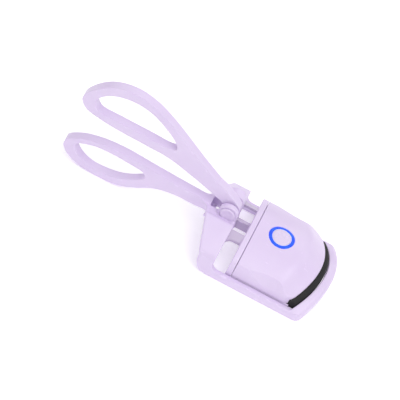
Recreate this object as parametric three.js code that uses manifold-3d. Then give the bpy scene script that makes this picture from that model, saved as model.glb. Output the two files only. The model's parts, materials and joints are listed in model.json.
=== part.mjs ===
// Heated eyelash curler: a scissor-handled frame whose rear handle loop is fixed, a lever that
// drives a battery-powered slider forward, and a curved silicone pad that meets the frame's rim.
// Millimetres. +X points to the jaw, +Y to the far side, +Z up; the origin is on the table under
// the middle of the object, which stands on its two side arms and the fixed loop.
import * as THREE from 'three';
import { mergeVertices } from 'three/addons/utils/BufferGeometryUtils.js';
import Module from 'manifold-3d';

const wasm = await Module();
wasm.setup();

// ---- Driving dimensions -------------------------------------------------------------------
const FRAME_HALF = 20.3; // half width over the side arms
const ARM_T = 1.9; // side arm thickness
const ARM_H = 3.9; // side arm height
const ARM_IN = FRAME_HALF - ARM_T;
const SLIDER_HALF = ARM_IN - 0.3; // half width of the sliding housing
const HANDLE_HALF = 1.9; // half thickness of both handles
const BRIDGE_FRONT = 15.3; // front face of the bridge
const SADDLE_Z = 16.8; // top of the bridge between its two shoulders
const PIVOT = { x: 11.3, z: 19.0 }; // lever pivot
const CRANK_R = 8.6; // pivot to drive pin
const TRAVEL = 4.8; // slider stroke, jaw closed to jaw open
const CRANK_LEAN = Math.asin(TRAVEL / 2 / CRANK_R); // crank leans forward when the jaw is closed
const DRIVE = {
  x: PIVOT.x + TRAVEL / 2,
  z: PIVOT.z - CRANK_R * Math.cos(CRANK_LEAN),
};
const DRIVE_RISE = CRANK_R * (1 - Math.cos(CRANK_LEAN)); // height the drive pin dips in mid stroke
const REAR_FACE = 20.9; // rear of the slider, jaw closed
const CAP_T = 2.35; // rear cap thickness
const SHELL_X = REAR_FACE + CAP_T + 0.15; // where the two covers begin
const WALL = 1.2; // cover wall
const GAP = 0.15; // gap between fitted pieces
const BUTTON = { x: 33.7, r: 3.75 };
const RING = { inner: 3.9, outer: 5.1 };

// ---- Curved surfaces, as functions of the distance y from the middle plane -------------------
const arch = (crown, drop, half) => (y) => crown - drop * (y / half) ** 2;
const topZ = arch(16.8, 5.5, 18.4); // top of the slider
const creaseX = arch(44.35, 3.9, 18.4); // where the top turns down into the visor
const lipX = arch(52.6, 5.2, 18.4); // front edge of the slider
const lipZ = arch(11.4, 4.5, 18.4);
const bellyZ = arch(5.6, 4.6, 18.4); // underside of the slider
const partZ = arch(8.6, 4.6, 18.4); // parting surface of the two covers
const rimTop = arch(9.2, 5.3, FRAME_HALF);
const rimBelow = arch(5.0, 5.0, FRAME_HALF);
const rimInner = (y) => lipX(y) + 2.55;
const rimOuter = arch(58.6, 4.8, FRAME_HALF);

// ---- Solids -----------------------------------------------------------------------------------
function solid(geometry) {
  const g = (geometry.index ? geometry.toNonIndexed() : geometry).clone();
  g.deleteAttribute('normal');
  g.deleteAttribute('uv');
  const merged = mergeVertices(g, 1e-4);
  return new wasm.Manifold(new wasm.Mesh({
    numProp: 3,
    vertProperties: merged.attributes.position.array,
    triVerts: new Uint32Array(merged.index.array),
  }));
}

function geometryOf(made) {
  const mesh = made.getMesh();
  const g = new THREE.BufferGeometry();
  g.setAttribute('position', new THREE.BufferAttribute(new Float32Array(mesh.vertProperties), 3));
  g.setIndex(new THREE.BufferAttribute(new Uint32Array(mesh.triVerts), 1));
  g.computeVertexNormals();
  return g;
}

const flat = (shape, depth, segments) => new THREE.ExtrudeGeometry(shape, {
  depth, bevelEnabled: false, curveSegments: segments,
});

// A shape drawn in the side view (x, z), from y0 to y1.
function acrossY(shape, y0, y1, segments = 10) {
  const g = flat(shape, y1 - y0, segments);
  g.rotateX(Math.PI / 2);
  g.translate(0, y1, 0);
  return solid(g);
}

// A shape drawn in the end view (y, z), from x0 to x1.
function alongX(shape, x0, x1, segments = 10) {
  const g = flat(shape, x1 - x0, segments);
  g.applyMatrix4(new THREE.Matrix4().makeBasis(
    new THREE.Vector3(0, 1, 0), new THREE.Vector3(0, 0, 1), new THREE.Vector3(1, 0, 0)));
  g.translate(x0, 0, 0);
  return solid(g);
}

// A shape drawn in the plan view (x, y), from z0 to z1.
function upZ(shape, z0, z1, segments = 10) {
  const g = flat(shape, z1 - z0, segments);
  g.translate(0, 0, z0);
  return solid(g);
}

function box(x0, x1, y0, y1, z0, z1) {
  const g = new THREE.BoxGeometry(x1 - x0, y1 - y0, z1 - z0);
  g.translate((x0 + x1) / 2, (y0 + y1) / 2, (z0 + z1) / 2);
  return solid(g);
}

function rodY(radius, y0, y1, x, z, segments = 24) {
  const g = new THREE.CylinderGeometry(radius, radius, y1 - y0, segments);
  g.translate(x, (y0 + y1) / 2, z);
  return solid(g);
}

function rodZ(radius, z0, z1, x, y, segments = 24) {
  const g = new THREE.CylinderGeometry(radius, radius, z1 - z0, segments);
  g.rotateX(Math.PI / 2);
  g.translate(x, y, (z0 + z1) / 2);
  return solid(g);
}

function rodX(radius, x0, x1, y, z, segments = 24) {
  const g = new THREE.CylinderGeometry(radius, radius, x1 - x0, segments);
  g.rotateZ(Math.PI / 2);
  g.translate((x0 + x1) / 2, y, z);
  return solid(g);
}

const vectors = (points) => points.map(([x, y]) => new THREE.Vector2(x, y));

// A solid through side-view sections: sectionAt(y) gives the same number of [x, z] points at each y.
function loft(sectionAt, half, count = 20) {
  const clockwise = THREE.ShapeUtils.area(vectors(sectionAt(0))) < 0;
  const section = clockwise ? (y) => sectionAt(y).reverse() : sectionAt;
  const ys = Array.from({ length: count + 1 }, (_, i) => -half + (2 * half * i) / count);
  const rings = ys.map((y) => section(y).map(([x, z]) => [x, y, z]));
  const n = rings[0].length;
  const last = count * n;
  const index = [];
  for (let r = 0; r < count; r += 1) {
    for (let i = 0; i < n; i += 1) {
      const a = r * n + i;
      const b = r * n + ((i + 1) % n);
      index.push(a, a + n, b, b, a + n, b + n);
    }
  }
  THREE.ShapeUtils.triangulateShape(vectors(section(0)), []).forEach(([a, b, c]) => {
    index.push(a, b, c, last + a, last + c, last + b);
  });
  const g = new THREE.BufferGeometry();
  g.setAttribute('position', new THREE.Float32BufferAttribute(rings.flat(2), 3));
  g.setIndex(index);
  return solid(g);
}

const union = (...pieces) => pieces.reduce((a, b) => a.add(b));
const polygon = (points) => new THREE.Shape(vectors(points));

// A polygon that is mirrored across the middle plane: points run from y = 0 outwards and back.
const mirrored = (points) => polygon([
  ...points,
  ...points.filter(([y]) => y > 0).map(([y, z]) => [-y, z]).reverse(),
]);

// ---- Materials ---------------------------------------------------------------------------------
const finish = (color, roughness, metalness = 0) =>
  new THREE.MeshStandardMaterial({ color, roughness, metalness });
const LILAC = finish(0xe2d2f2, 0.35);
const LILAC_SHADE = finish(0xcbbadb, 0.45);
const SILICONE = finish(0x2b2b2b, 0.7);
const STEEL = finish(0xb9bcc0, 0.3, 1);
const BLUE_LIGHT = finish(0x1464ff, 0.25);
const NYLON = finish(0xf0eef2, 0.5);
const BOARD = finish(0x1e5b3a, 0.5);
const BLACK_PLASTIC = finish(0x1c1c1e, 0.5);
const CELL = finish(0x9fa6b0, 0.4, 0.6);
const AMBER_FILM = finish(0xb5702a, 0.4);

const group = new THREE.Group();
function part(name, made, material) {
  const mesh = new THREE.Mesh(geometryOf(made), material);
  mesh.name = name;
  group.add(mesh);
}

// ---- Handles -----------------------------------------------------------------------------------
// Side-view outlines. Each runs as one smooth curve through its points.
const FIXED_OUTLINE = [
  [4.5, 17.0], [-2, 17.2], [-14.9, 17.7], [-24, 18.2], [-34.1, 18.7], [-44.2, 17.6], [-52.4, 14.4],
  [-57.0, 9.6], [-54.5, 4.4], [-48.0, 1.0], [-40.5, 0.0], [-31.6, 0.9], [-24.9, 4.3], [-18.2, 9.0],
  [-10.7, 11.2], [-2.3, 11.5], [4.5, 12.2],
];
const FIXED_HOLE = [
  [-52.4, 10.8], [-46.4, 14.3], [-39.5, 15.3], [-31.0, 15.0], [-24.2, 14.0], [-23.2, 12.0],
  [-27.0, 7.9], [-31.9, 5.0], [-37.6, 3.6], [-43.6, 3.4], [-49.6, 6.2],
];
const LEVER_OUTLINE = [
  [2.8, 28.8], [-6.5, 34.7], [-14.9, 40.5], [-23.2, 45.9], [-31.6, 50.0], [-40.0, 51.5], [-48.4, 49.3],
  [-54.6, 43.6], [-57.9, 36.0], [-55.0, 31.6], [-48.4, 29.7], [-39.0, 28.8], [-28.0, 28.6],
  [-18.2, 28.2], [-6.5, 25.1], [1.9, 22.4],
];
const LEVER_HOLE = [
  [-52.6, 38.2], [-48.6, 43.9], [-40.4, 46.9], [-31.6, 46.0], [-24.0, 42.0], [-18.4, 37.4],
  [-17.2, 34.4], [-19.6, 33.3], [-30.0, 33.3], [-41.0, 33.3], [-50.2, 33.8],
];
const OPEN_STEPS = 44;
const HOLE_STEPS = 36;
const smoothOpen = (points) => new THREE.SplineCurve(vectors(points)).getSpacedPoints(OPEN_STEPS);
function smoothLoop(points) {
  const closed = new THREE.CatmullRomCurve3(
    points.map(([x, z]) => new THREE.Vector3(x, z, 0)), true, 'centripetal');
  return closed.getSpacedPoints(HOLE_STEPS).slice(0, -1).map((p) => new THREE.Vector2(p.x, p.y));
}

function handle(outline, hole, closing = []) {
  const shape = new THREE.Shape([...smoothOpen(outline), ...vectors(closing)]);
  shape.holes.push(new THREE.Path(smoothLoop(hole)));
  return acrossY(shape, -HANDLE_HALF, HANDLE_HALF);
}

// ---- Frame: fixed loop, bridge, side arms and front rim in one moulding ---------------------
const SLOT_HALF = HANDLE_HALF + 0.6; // slot in the bridge that the lever works in
const SLOT_FLOOR = 13; // floor at the rear of that slot
const LUG = { r: 3.9, near: 4.6, far: 6.6 }; // pivot lugs, from the lever's slot outwards
const PIN_R = 1.5;
const HEAD_R = 3.05; // pin head on the near lug, cap on the far lug
const HEAD = { inner: LUG.near + 0.15, outer: LUG.near + 0.8 };
const CAP = { inner: LUG.far + 0.15, outer: LUG.far + 0.8 };
const ARM_REAR = 14; // where the side arms leave the bridge

function bridge() {
  const section = mirrored([
    [0, SADDLE_Z], [6.2, SADDLE_Z], [6.7, 17.4], [7.4, 17.3], [19.3, 10.3], [20.1, 9.7],
    [FRAME_HALF, 9.1], [FRAME_HALF, 0], [ARM_IN, 0], [ARM_IN, 8.6], [13.4, 11.6], [12.9, 12.5],
    [7.0, 16.05], [5.5, 15.6], [5.5, 12], [0, 12],
  ]);
  const side = polygon([
    [-4, 30], [-4, 9.8], [7.0, 9.8], [8.1, 9.0], [8.7, 5.2], [9.3, 3.2], [10.5, 1.4], [12.6, 0],
    [30, 0], [30, 30],
  ]);
  return alongX(section, -1, BRIDGE_FRONT).intersect(acrossY(side, -30, 30));
}

// The stem widens into the bridge through a pair of curved webs.
function flare() {
  const plan = new THREE.Shape();
  plan.moveTo(-1.2, -HANDLE_HALF);
  plan.quadraticCurveTo(2.6, -2.2, 3.4, -6.2);
  plan.lineTo(5.5, -6.2);
  plan.lineTo(5.5, 6.2);
  plan.lineTo(3.4, 6.2);
  plan.quadraticCurveTo(2.6, 2.2, -1.2, HANDLE_HALF);
  return upZ(plan, 12.0, 16.75, 6);
}

function headOutline() {
  const plan = new THREE.Shape();
  plan.moveTo(3.2, -6.2);
  plan.lineTo(8.2, -18.6);
  plan.quadraticCurveTo(8.9, -FRAME_HALF, 10.6, -FRAME_HALF);
  plan.lineTo(49.0, -FRAME_HALF);
  plan.quadraticCurveTo(53.9, -FRAME_HALF, 55.9, -15.3);
  plan.lineTo(60, -12);
  plan.lineTo(60, 12);
  plan.lineTo(55.9, 15.3);
  plan.quadraticCurveTo(53.9, FRAME_HALF, 49.0, FRAME_HALF);
  plan.lineTo(10.6, FRAME_HALF);
  plan.quadraticCurveTo(8.9, FRAME_HALF, 8.2, 18.6);
  plan.lineTo(3.2, 6.2);
  return upZ(plan, -1, 40, 6);
}

function frontRim() {
  return loft((y) => {
    const chamfer = 0.5;
    return [
      [rimInner(y), rimBelow(y)], [rimOuter(y) - chamfer, rimBelow(y)],
      [rimOuter(y), rimBelow(y) + chamfer], [rimOuter(y), rimTop(y) - 1.2],
      [rimOuter(y) - 0.9, rimTop(y) - 0.2], [rimOuter(y) - 1.8, rimTop(y)], [rimInner(y), rimTop(y)],
    ];
  }, FRAME_HALF, 24);
}

function lug(side) {
  const shape = new THREE.Shape();
  shape.moveTo(PIVOT.x - LUG.r, 14);
  shape.lineTo(PIVOT.x - LUG.r, PIVOT.z);
  shape.absarc(PIVOT.x, PIVOT.z, LUG.r, Math.PI, 0, true);
  shape.lineTo(PIVOT.x + LUG.r, 14);
  return side > 0 ? acrossY(shape, SLOT_HALF, LUG.far, 12) : acrossY(shape, -LUG.near, -SLOT_HALF, 12);
}

const RAIL = { x0: 17.5, x1: 46, z0: 1.9, z1: 2.7, proud: 0.6 };

// A concave web between the bridge's front face and a side arm.
function armFillet(side) {
  const shape = new THREE.Shape();
  shape.moveTo(BRIDGE_FRONT - 0.5, ARM_H - 0.5);
  shape.lineTo(18.4, ARM_H - 0.5);
  shape.lineTo(18.4, ARM_H);
  shape.quadraticCurveTo(BRIDGE_FRONT, ARM_H, BRIDGE_FRONT, 7.0);
  shape.lineTo(BRIDGE_FRONT - 0.5, 7.0);
  return acrossY(shape, Math.min(side * ARM_IN, side * FRAME_HALF), Math.max(side * ARM_IN, side * FRAME_HALF), 5);
}

function frame() {
  const arms = [-1, 1].map((s) => union(
    armFillet(s),
    box(ARM_REAR, 51.5, Math.min(s * ARM_IN, s * FRAME_HALF), Math.max(s * ARM_IN, s * FRAME_HALF), 0, ARM_H),
    box(RAIL.x0, RAIL.x1, Math.min(s * (ARM_IN + 0.4), s * (ARM_IN - RAIL.proud)),
      Math.max(s * (ARM_IN + 0.4), s * (ARM_IN - RAIL.proud)), RAIL.z0, RAIL.z1),
  ));
  const head = union(bridge(), ...arms, frontRim()).intersect(headOutline());
  const handleLoop = handle(FIXED_OUTLINE, FIXED_HOLE);
  return union(head, handleLoop, flare(), lug(-1), lug(1))
    .subtract(box(3.9, 30, -SLOT_HALF, SLOT_HALF, SLOT_FLOOR, 30))
    .subtract(box(6.2, 30, -SLOT_HALF, SLOT_HALF, 11, SLOT_FLOOR + 1))
    .subtract(rodY(PIN_R + 0.1, -8, 8, PIVOT.x, PIVOT.z))
    .subtract(rodY(HEAD_R + 0.3, -HEAD.outer - 0.3, -LUG.near, PIVOT.x, PIVOT.z, 32))
    .subtract(rodY(HEAD_R + 0.3, LUG.far, CAP.outer + 0.3, PIVOT.x, PIVOT.z, 32));
}
part('frame', frame(), LILAC);

// ---- Pivot ----------------------------------------------------------------------------------
part('pivot_pin', union(
  rodY(PIN_R, -HEAD.inner - 0.1, CAP.inner + 0.2, PIVOT.x, PIVOT.z),
  rodY(HEAD_R, -HEAD.outer, -HEAD.inner, PIVOT.x, PIVOT.z, 32),
), LILAC);
part('pivot_cap', rodY(HEAD_R, CAP.inner, CAP.outer, PIVOT.x, PIVOT.z, 32)
  .subtract(rodY(PIN_R + 0.1, 0, CAP.inner + 0.3, PIVOT.x, PIVOT.z)), LILAC);
for (const [name, y] of [['near_washer', -SLOT_HALF + 0.15], ['far_washer', SLOT_HALF - 0.45]]) {
  part(name, rodY(3.0, y, y + 0.3, PIVOT.x, PIVOT.z)
    .subtract(rodY(PIN_R + 0.1, y - 1, y + 1, PIVOT.x, PIVOT.z)), NYLON);
}

// ---- Lever -----------------------------------------------------------------------------------
const FORK_HALF = 1.1; // half width of the slot that straddles the yoke's web
const HUB_R = 3.7; // solid hub round the pivot, above the fork

function lever() {
  const grip = handle(LEVER_OUTLINE, LEVER_HOLE, [
    [6.5, 20.7], [8.4, 19.2], [15.0, 19.6], [14.5, 21.5], [11.6, 24.1], [7.0, 27.1],
  ]);
  const crank = new THREE.Shape();
  const side = 2.2;
  const lean = CRANK_LEAN;
  crank.moveTo(PIVOT.x - 3.5 * Math.cos(lean), PIVOT.z);
  crank.lineTo(DRIVE.x - side * Math.cos(lean), DRIVE.z - side * Math.sin(lean));
  crank.absarc(DRIVE.x, DRIVE.z, side, Math.PI + lean, lean, false);
  crank.lineTo(PIVOT.x + 3.7 * Math.cos(lean), PIVOT.z + 1);
  const fork = box(0, 24, -FORK_HALF, FORK_HALF, 0, PIVOT.z).subtract(
    rodY(HUB_R, -3, 3, PIVOT.x, PIVOT.z));
  return union(grip, acrossY(crank, -HANDLE_HALF, HANDLE_HALF, 12),
    rodY(HUB_R, -HANDLE_HALF, HANDLE_HALF, PIVOT.x, PIVOT.z))
    .subtract(fork)
    .subtract(rodY(PIN_R + 0.1, -5, 5, PIVOT.x, PIVOT.z))
    .subtract(rodY(1.1, -5, 5, DRIVE.x, DRIVE.z));
}
part('lever', lever(), LILAC);
part('drive_pin', rodY(1.0, -HANDLE_HALF + 0.05, HANDLE_HALF - 0.05, DRIVE.x, DRIVE.z), STEEL);

// ---- Slider: rear cap with its yoke ------------------------------------------------------------
const GROOVE = { z0: RAIL.z0 - 0.3, z1: RAIL.z1 + 0.3, deep: RAIL.proud + 0.3 };
const railGrooves = () => union(...[-1, 1].map((s) => box(
  10, 60, Math.min(s * (ARM_IN - GROOVE.deep), s * 19), Math.max(s * (ARM_IN - GROOVE.deep), s * 19),
  GROOVE.z0, GROOVE.z1)));

// One guide prong of the yoke: a sloping plate that widens towards the bridge.
function prong(side) {
  const plan = new THREE.Shape();
  plan.moveTo(REAR_FACE + 0.5, side * 7.0);
  plan.lineTo(11.0, side * 7.0);
  plan.lineTo(11.0, side * 12.0);
  plan.lineTo(14.8, side * 12.0);
  plan.quadraticCurveTo(16.6, side * 10.4, 18.6, side * 10.2);
  plan.lineTo(REAR_FACE + 0.5, side * 10.2);
  const top = (y) => 15.65 - 0.6 * (Math.abs(y) - 7);
  const slab = alongX(polygon([
    [side * 6, top(6)], [side * 12.4, top(12.4)], [side * 12.4, top(12.4) - 1.4], [side * 6, top(6) - 1.4],
  ]), 8, 24);
  return upZ(plan, 0, 30, 6).intersect(slab);
}

const WEB_HALF = FORK_HALF - 0.3;
function web() {
  const shape = new THREE.Shape();
  shape.moveTo(REAR_FACE + 0.5, 14.5);
  shape.lineTo(12.2, 14.5);
  shape.lineTo(11.4, 13.7);
  shape.lineTo(11.4, 10.2);
  shape.absarc(DRIVE.x, DRIVE.z - 0.2, 2.4, Math.PI, 2 * Math.PI - 0.25, false);
  shape.quadraticCurveTo(16.6, 10.0, 17.6, 10.0);
  shape.lineTo(REAR_FACE + 0.5, 10.0);
  const slot = new THREE.Path();
  const dip = DRIVE.z - DRIVE_RISE;
  slot.absarc(DRIVE.x, DRIVE.z + 0.15, 1.15, 0, Math.PI, false);
  slot.absarc(DRIVE.x, dip - 0.15, 1.15, Math.PI, 2 * Math.PI, false);
  shape.holes.push(slot);
  return acrossY(shape, -WEB_HALF, WEB_HALF, 10);
}

const CAP_SCREW = { y: 11.2, z: 8.0 };
function yoke() {
  const cap = loft((y) => [
    [REAR_FACE, bellyZ(y)], [SHELL_X - GAP, bellyZ(y)], [SHELL_X - GAP, topZ(y)],
    [REAR_FACE + 0.3, topZ(y)], [REAR_FACE, topZ(y) - 0.3],
  ], SLIDER_HALF);
  const spigot = loft((y) => [
    [SHELL_X - 1, bellyZ(y) + WALL + GAP], [SHELL_X + 1.2, bellyZ(y) + WALL + GAP],
    [SHELL_X + 1.2, topZ(y) - WALL - GAP], [SHELL_X - 1, topZ(y) - WALL - GAP],
  ], SLIDER_HALF - WALL - GAP - 1.2);
  const screwHoles = union(...[-1, 1].map((s) => union(
    rodX(0.95, 15, 30, s * CAP_SCREW.y, CAP_SCREW.z, 16),
    rodX(1.6, 15, REAR_FACE + 1.0, s * CAP_SCREW.y, CAP_SCREW.z, 16),
  )));
  const window = box(SHELL_X - 0.6, 30, -9.2, 9.2, 7.4, 13.6);
  return union(cap, spigot, prong(-1), prong(1), web())
    .subtract(window)
    .subtract(screwHoles)
    .subtract(railGrooves());
}
part('slider_yoke', yoke(), LILAC);

// ---- Slider: covers -----------------------------------------------------------------------------
// The whole outside of the covers, shrunk by inset, above or below the parting surface.
const upperSection = (inset, extra) => (y) => [
  [SHELL_X - extra, partZ(y) - extra], [SHELL_X - extra, topZ(y) - inset],
  [creaseX(y) - inset * 0.3, topZ(y) - inset], [lipX(y) - inset, lipZ(y) - inset * 0.9],
  [lipX(y) - inset, partZ(y) - extra],
];
const lowerSection = (inset, extra) => (y) => [
  [SHELL_X - extra, bellyZ(y) + inset], [lipX(y) - inset, bellyZ(y) + inset],
  [lipX(y) - inset, partZ(y) - 0.3 + extra], [SHELL_X - extra, partZ(y) - 0.3 + extra],
];

const PAD = { proud: 2.25, sunk: 1.4, half: 17.3 };
const padTop = (y) => lipZ(y) - 0.85;
const padBelow = (y) => lipZ(y) - 4.75;
const padSpace = () => loft((y) => [
  [lipX(y) - PAD.sunk - GAP, padBelow(y) - GAP], [lipX(y) + 4, padBelow(y) - GAP],
  [lipX(y) + 4, padTop(y) + GAP], [lipX(y) - PAD.sunk - GAP, padTop(y) + GAP],
], PAD.half + GAP);

const COVER_SCREWS = [[27.0, -15.2], [27.0, 15.2], [44.0, -14.6], [44.0, 14.6]];
const SOCKET = { x: 33.5, z: 7.5, w: 8.94, h: 3.26, y0: 10.6, y1: 18.0 };
const roundedRect = (x, z, w, h, r) => {
  const s = new THREE.Shape();
  s.moveTo(x - w / 2 + r, z - h / 2);
  s.absarc(x + w / 2 - r, z - h / 2 + r, r, -Math.PI / 2, 0, false);
  s.absarc(x + w / 2 - r, z + h / 2 - r, r, 0, Math.PI / 2, false);
  s.absarc(x - w / 2 + r, z + h / 2 - r, r, Math.PI / 2, Math.PI, false);
  s.absarc(x - w / 2 + r, z - h / 2 + r, r, Math.PI, 1.5 * Math.PI, false);
  return s;
};

function topCover() {
  const outside = loft(upperSection(0, 0), SLIDER_HALF);
  const cavity = loft(upperSection(WALL, 2), SLIDER_HALF - WALL);
  const posts = union(
    ...COVER_SCREWS.map(([x, y]) => rodZ(1.75, 5.4, 20, x, y, 16)),
    ...[-1, 1].map((s) => box(SHELL_X, 28.4, Math.min(s * 9.4, s * 13), Math.max(s * 9.4, s * 13), 6.4, 20)),
  );
  const above = loft((y) => [
    [SHELL_X + 1.4, partZ(y)], [SHELL_X + 1.4, topZ(y) - 0.3], [creaseX(y), topZ(y) - 0.3],
    [lipX(y) - 2, lipZ(y)], [lipX(y) - 2, partZ(y)],
  ], SLIDER_HALF - 0.5);
  const screwHoles = union(
    ...COVER_SCREWS.map(([x, y]) => rodZ(0.9, 0, 9.6, x, y, 12)),
    ...[-1, 1].map((s) => rodX(0.95, 20, 28.0, s * CAP_SCREW.y, CAP_SCREW.z, 12)),
  );
  const socketHole = acrossY(roundedRect(SOCKET.x, SOCKET.z, SOCKET.w + 0.4, SOCKET.h + 0.4, 1.6), 15, 20, 6);
  return union(outside.subtract(cavity), posts.intersect(above))
    .subtract(screwHoles)
    .subtract(socketHole)
    .subtract(padSpace())
    .subtract(rodZ(RING.outer + GAP, 12, 20, BUTTON.x, 0, 40));
}
part('top_cover', topCover(), LILAC);

function bottomCover() {
  const outside = loft(lowerSection(0, 0), SLIDER_HALF);
  const cavity = loft(lowerSection(WALL, 2), SLIDER_HALF - WALL - 0.6);
  const seats = union(...COVER_SCREWS.map(([x, y]) => rodZ(1.9, 0, 5.1, x, y, 16)))
    .intersect(loft((y) => [
      [SHELL_X, bellyZ(y)], [lipX(y) - 1, bellyZ(y)], [lipX(y) - 1, partZ(y) - 0.4], [SHELL_X, partZ(y) - 0.4],
    ], SLIDER_HALF - 0.9));
  const screwHoles = union(...COVER_SCREWS.map(([x, y]) => union(
    rodZ(0.95, 0, 9, x, y, 12), rodZ(1.75, -1, bellyZ(y) + 0.9, x, y, 16))));
  return union(outside.subtract(cavity), seats)
    .subtract(screwHoles)
    .subtract(padSpace())
    .subtract(railGrooves());
}
part('bottom_cover', bottomCover(), LILAC);

// ---- Slider: heated pad ------------------------------------------------------------------------
part('silicone_pad', loft((y) => {
  const edge = 0.5;
  const front = lipX(y) + PAD.proud;
  return [
    [lipX(y) - PAD.sunk, padBelow(y)], [front - edge, padBelow(y)], [front, padBelow(y) + edge],
    [front, padTop(y) - 1.1], [front - 0.4, padTop(y) - 0.4], [lipX(y), padTop(y)],
    [lipX(y) - PAD.sunk, padTop(y)],
  ];
}, PAD.half), SILICONE);
const stripBehindPad = (from, to, half) => loft((y) => [
  [lipX(y) - to, padBelow(y) + 0.4], [lipX(y) - from, padBelow(y) + 0.4],
  [lipX(y) - from, padTop(y) - 0.4], [lipX(y) - to, padTop(y) - 0.4],
], half);
part('heater_film', stripBehindPad(1.6, 1.85, 15.5), AMBER_FILM);
part('heat_spreader', stripBehindPad(2.0, 2.6, 15.5), STEEL);
part('temperature_sensor', box(48.2, 49.4, -0.9, 0.9, 8.0, 9.0), BLACK_PLASTIC);

// ---- Slider: electronics ----------------------------------------------------------------------
const BOARD_Z = 11.5;
const BOARD_T = 0.9;
part('battery', box(29.4, 43.4, -12.4, 9.0, 7.2, 11.1), CELL);
part('circuit_board', box(26.6, 43.0, -8.6, 8.6, BOARD_Z, BOARD_Z + BOARD_T), BOARD);
part('tact_switch', box(BUTTON.x - 1.7, BUTTON.x + 1.7, -1.7, 1.7, BOARD_Z + BOARD_T + 0.1, 13.6), BLACK_PLASTIC);
for (const [name, s] of [['rear_led', -1], ['front_led', 1]]) {
  const x = BUTTON.x + s * 4.35;
  part(name, box(x - 0.6, x + 0.6, -0.8, 0.8, BOARD_Z + BOARD_T + 0.1, 13.2), NYLON);
}
part('charge_board', box(29.2, 38.6, 12.4, 16.0, 4.9, 5.55), BOARD);
part('charge_socket', acrossY(roundedRect(SOCKET.x, SOCKET.z, SOCKET.w, SOCKET.h, 1.5), SOCKET.y0, SOCKET.y1, 6)
  .subtract(acrossY(roundedRect(SOCKET.x, SOCKET.z, SOCKET.w - 0.6, SOCKET.h - 0.6, 1.2), SOCKET.y0 + 1, 20, 6)),
STEEL);
part('charge_contact_tongue', box(SOCKET.x - 3.3, SOCKET.x + 3.3, SOCKET.y0 + 1.15, SOCKET.y1 - 0.8,
  SOCKET.z - 0.35, SOCKET.z + 0.35), BLACK_PLASTIC);

// ---- Slider: button and light ring, both flush with the arched top -------------------------------
const underTop = (lowest, drop = 0) => loft((y) => [
  [BUTTON.x - 9, lowest], [BUTTON.x + 9, lowest], [BUTTON.x + 9, topZ(y) - drop], [BUTTON.x - 9, topZ(y) - drop],
], 7, 14);
part('light_ring', rodZ(RING.outer, 12, 20, BUTTON.x, 0, 40)
  .subtract(rodZ(RING.inner, 10, 22, BUTTON.x, 0, 40))
  .intersect(underTop(14.5)), BLUE_LIGHT);
part('power_button', union(
  rodZ(BUTTON.r, 12, 20, BUTTON.x, 0, 36).intersect(underTop(15.4)),
  rodZ(1.1, 14.2, 15.6, BUTTON.x, 0, 16),
), LILAC);

// ---- Slider: screws -----------------------------------------------------------------------------
COVER_SCREWS.forEach(([x, y], i) => {
  const head = bellyZ(y) + 0.1;
  part(`cover_screw_${i + 1}`, union(
    rodZ(1.5, head, head + 0.65, x, y, 16), rodZ(0.75, head + 0.5, 9.2, x, y, 12)), STEEL);
});
[-1, 1].forEach((s, i) => part(`cap_screw_${i + 1}`, union(
  rodX(1.45, REAR_FACE + 0.15, REAR_FACE + 0.85, s * CAP_SCREW.y, CAP_SCREW.z, 16),
  rodX(0.75, REAR_FACE + 0.5, 27.6, s * CAP_SCREW.y, CAP_SCREW.z, 12)), STEEL));

export default group;
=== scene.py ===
"""Heated eyelash curler: lilac satin plastic pieces, silicone pad, lit ring, pins and small inner parts."""

import json
import math

import bpy
import bmesh
import numpy as np
from mathutils import Matrix, Vector


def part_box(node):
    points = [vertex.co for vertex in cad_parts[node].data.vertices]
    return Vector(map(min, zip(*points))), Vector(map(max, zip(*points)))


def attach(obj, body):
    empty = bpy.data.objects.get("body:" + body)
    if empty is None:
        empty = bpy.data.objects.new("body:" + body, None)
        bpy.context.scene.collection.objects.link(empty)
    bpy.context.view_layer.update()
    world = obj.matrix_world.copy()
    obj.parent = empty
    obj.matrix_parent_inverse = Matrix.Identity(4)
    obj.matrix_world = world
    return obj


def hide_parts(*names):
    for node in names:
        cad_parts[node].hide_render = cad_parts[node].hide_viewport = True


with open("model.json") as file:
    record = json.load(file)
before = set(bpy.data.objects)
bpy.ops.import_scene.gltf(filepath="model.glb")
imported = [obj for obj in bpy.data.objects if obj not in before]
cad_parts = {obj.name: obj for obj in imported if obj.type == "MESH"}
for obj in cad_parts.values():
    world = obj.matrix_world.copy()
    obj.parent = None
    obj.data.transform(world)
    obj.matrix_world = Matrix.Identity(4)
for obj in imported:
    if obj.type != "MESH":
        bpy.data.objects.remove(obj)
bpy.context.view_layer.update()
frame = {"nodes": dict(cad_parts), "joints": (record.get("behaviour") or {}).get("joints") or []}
MM = 0.001

# ---- Camera ---------------------------------------------------------------------------------
LENS = 600.0
SENSOR = 36.0
VIEW_WIDTH = 152.3 * MM
AIM = Vector((-0.5, 0.0, 13.7)) * MM
ELEVATION = math.radians(48)
ROLL = math.radians(27.8)


def add_camera():
    data = bpy.data.cameras.new("camera")
    data.lens = LENS
    data.sensor_width = SENSOR
    data.clip_start = 0.01
    data.clip_end = 20
    camera = bpy.data.objects.new("camera", data)
    bpy.context.scene.collection.objects.link(camera)
    back = Vector((0, -math.cos(ELEVATION), math.sin(ELEVATION)))
    upward = Vector((0, math.sin(ELEVATION), math.cos(ELEVATION)))
    right = Vector((math.cos(ROLL), 0, 0)) + math.sin(ROLL) * upward
    up = Vector((-math.sin(ROLL), 0, 0)) + math.cos(ROLL) * upward
    turn = Matrix((right, up, back)).transposed().to_4x4()
    camera.matrix_world = Matrix.Translation(AIM + back * VIEW_WIDTH * LENS / SENSOR) @ turn
    bpy.context.scene.camera = camera


add_camera()

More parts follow.
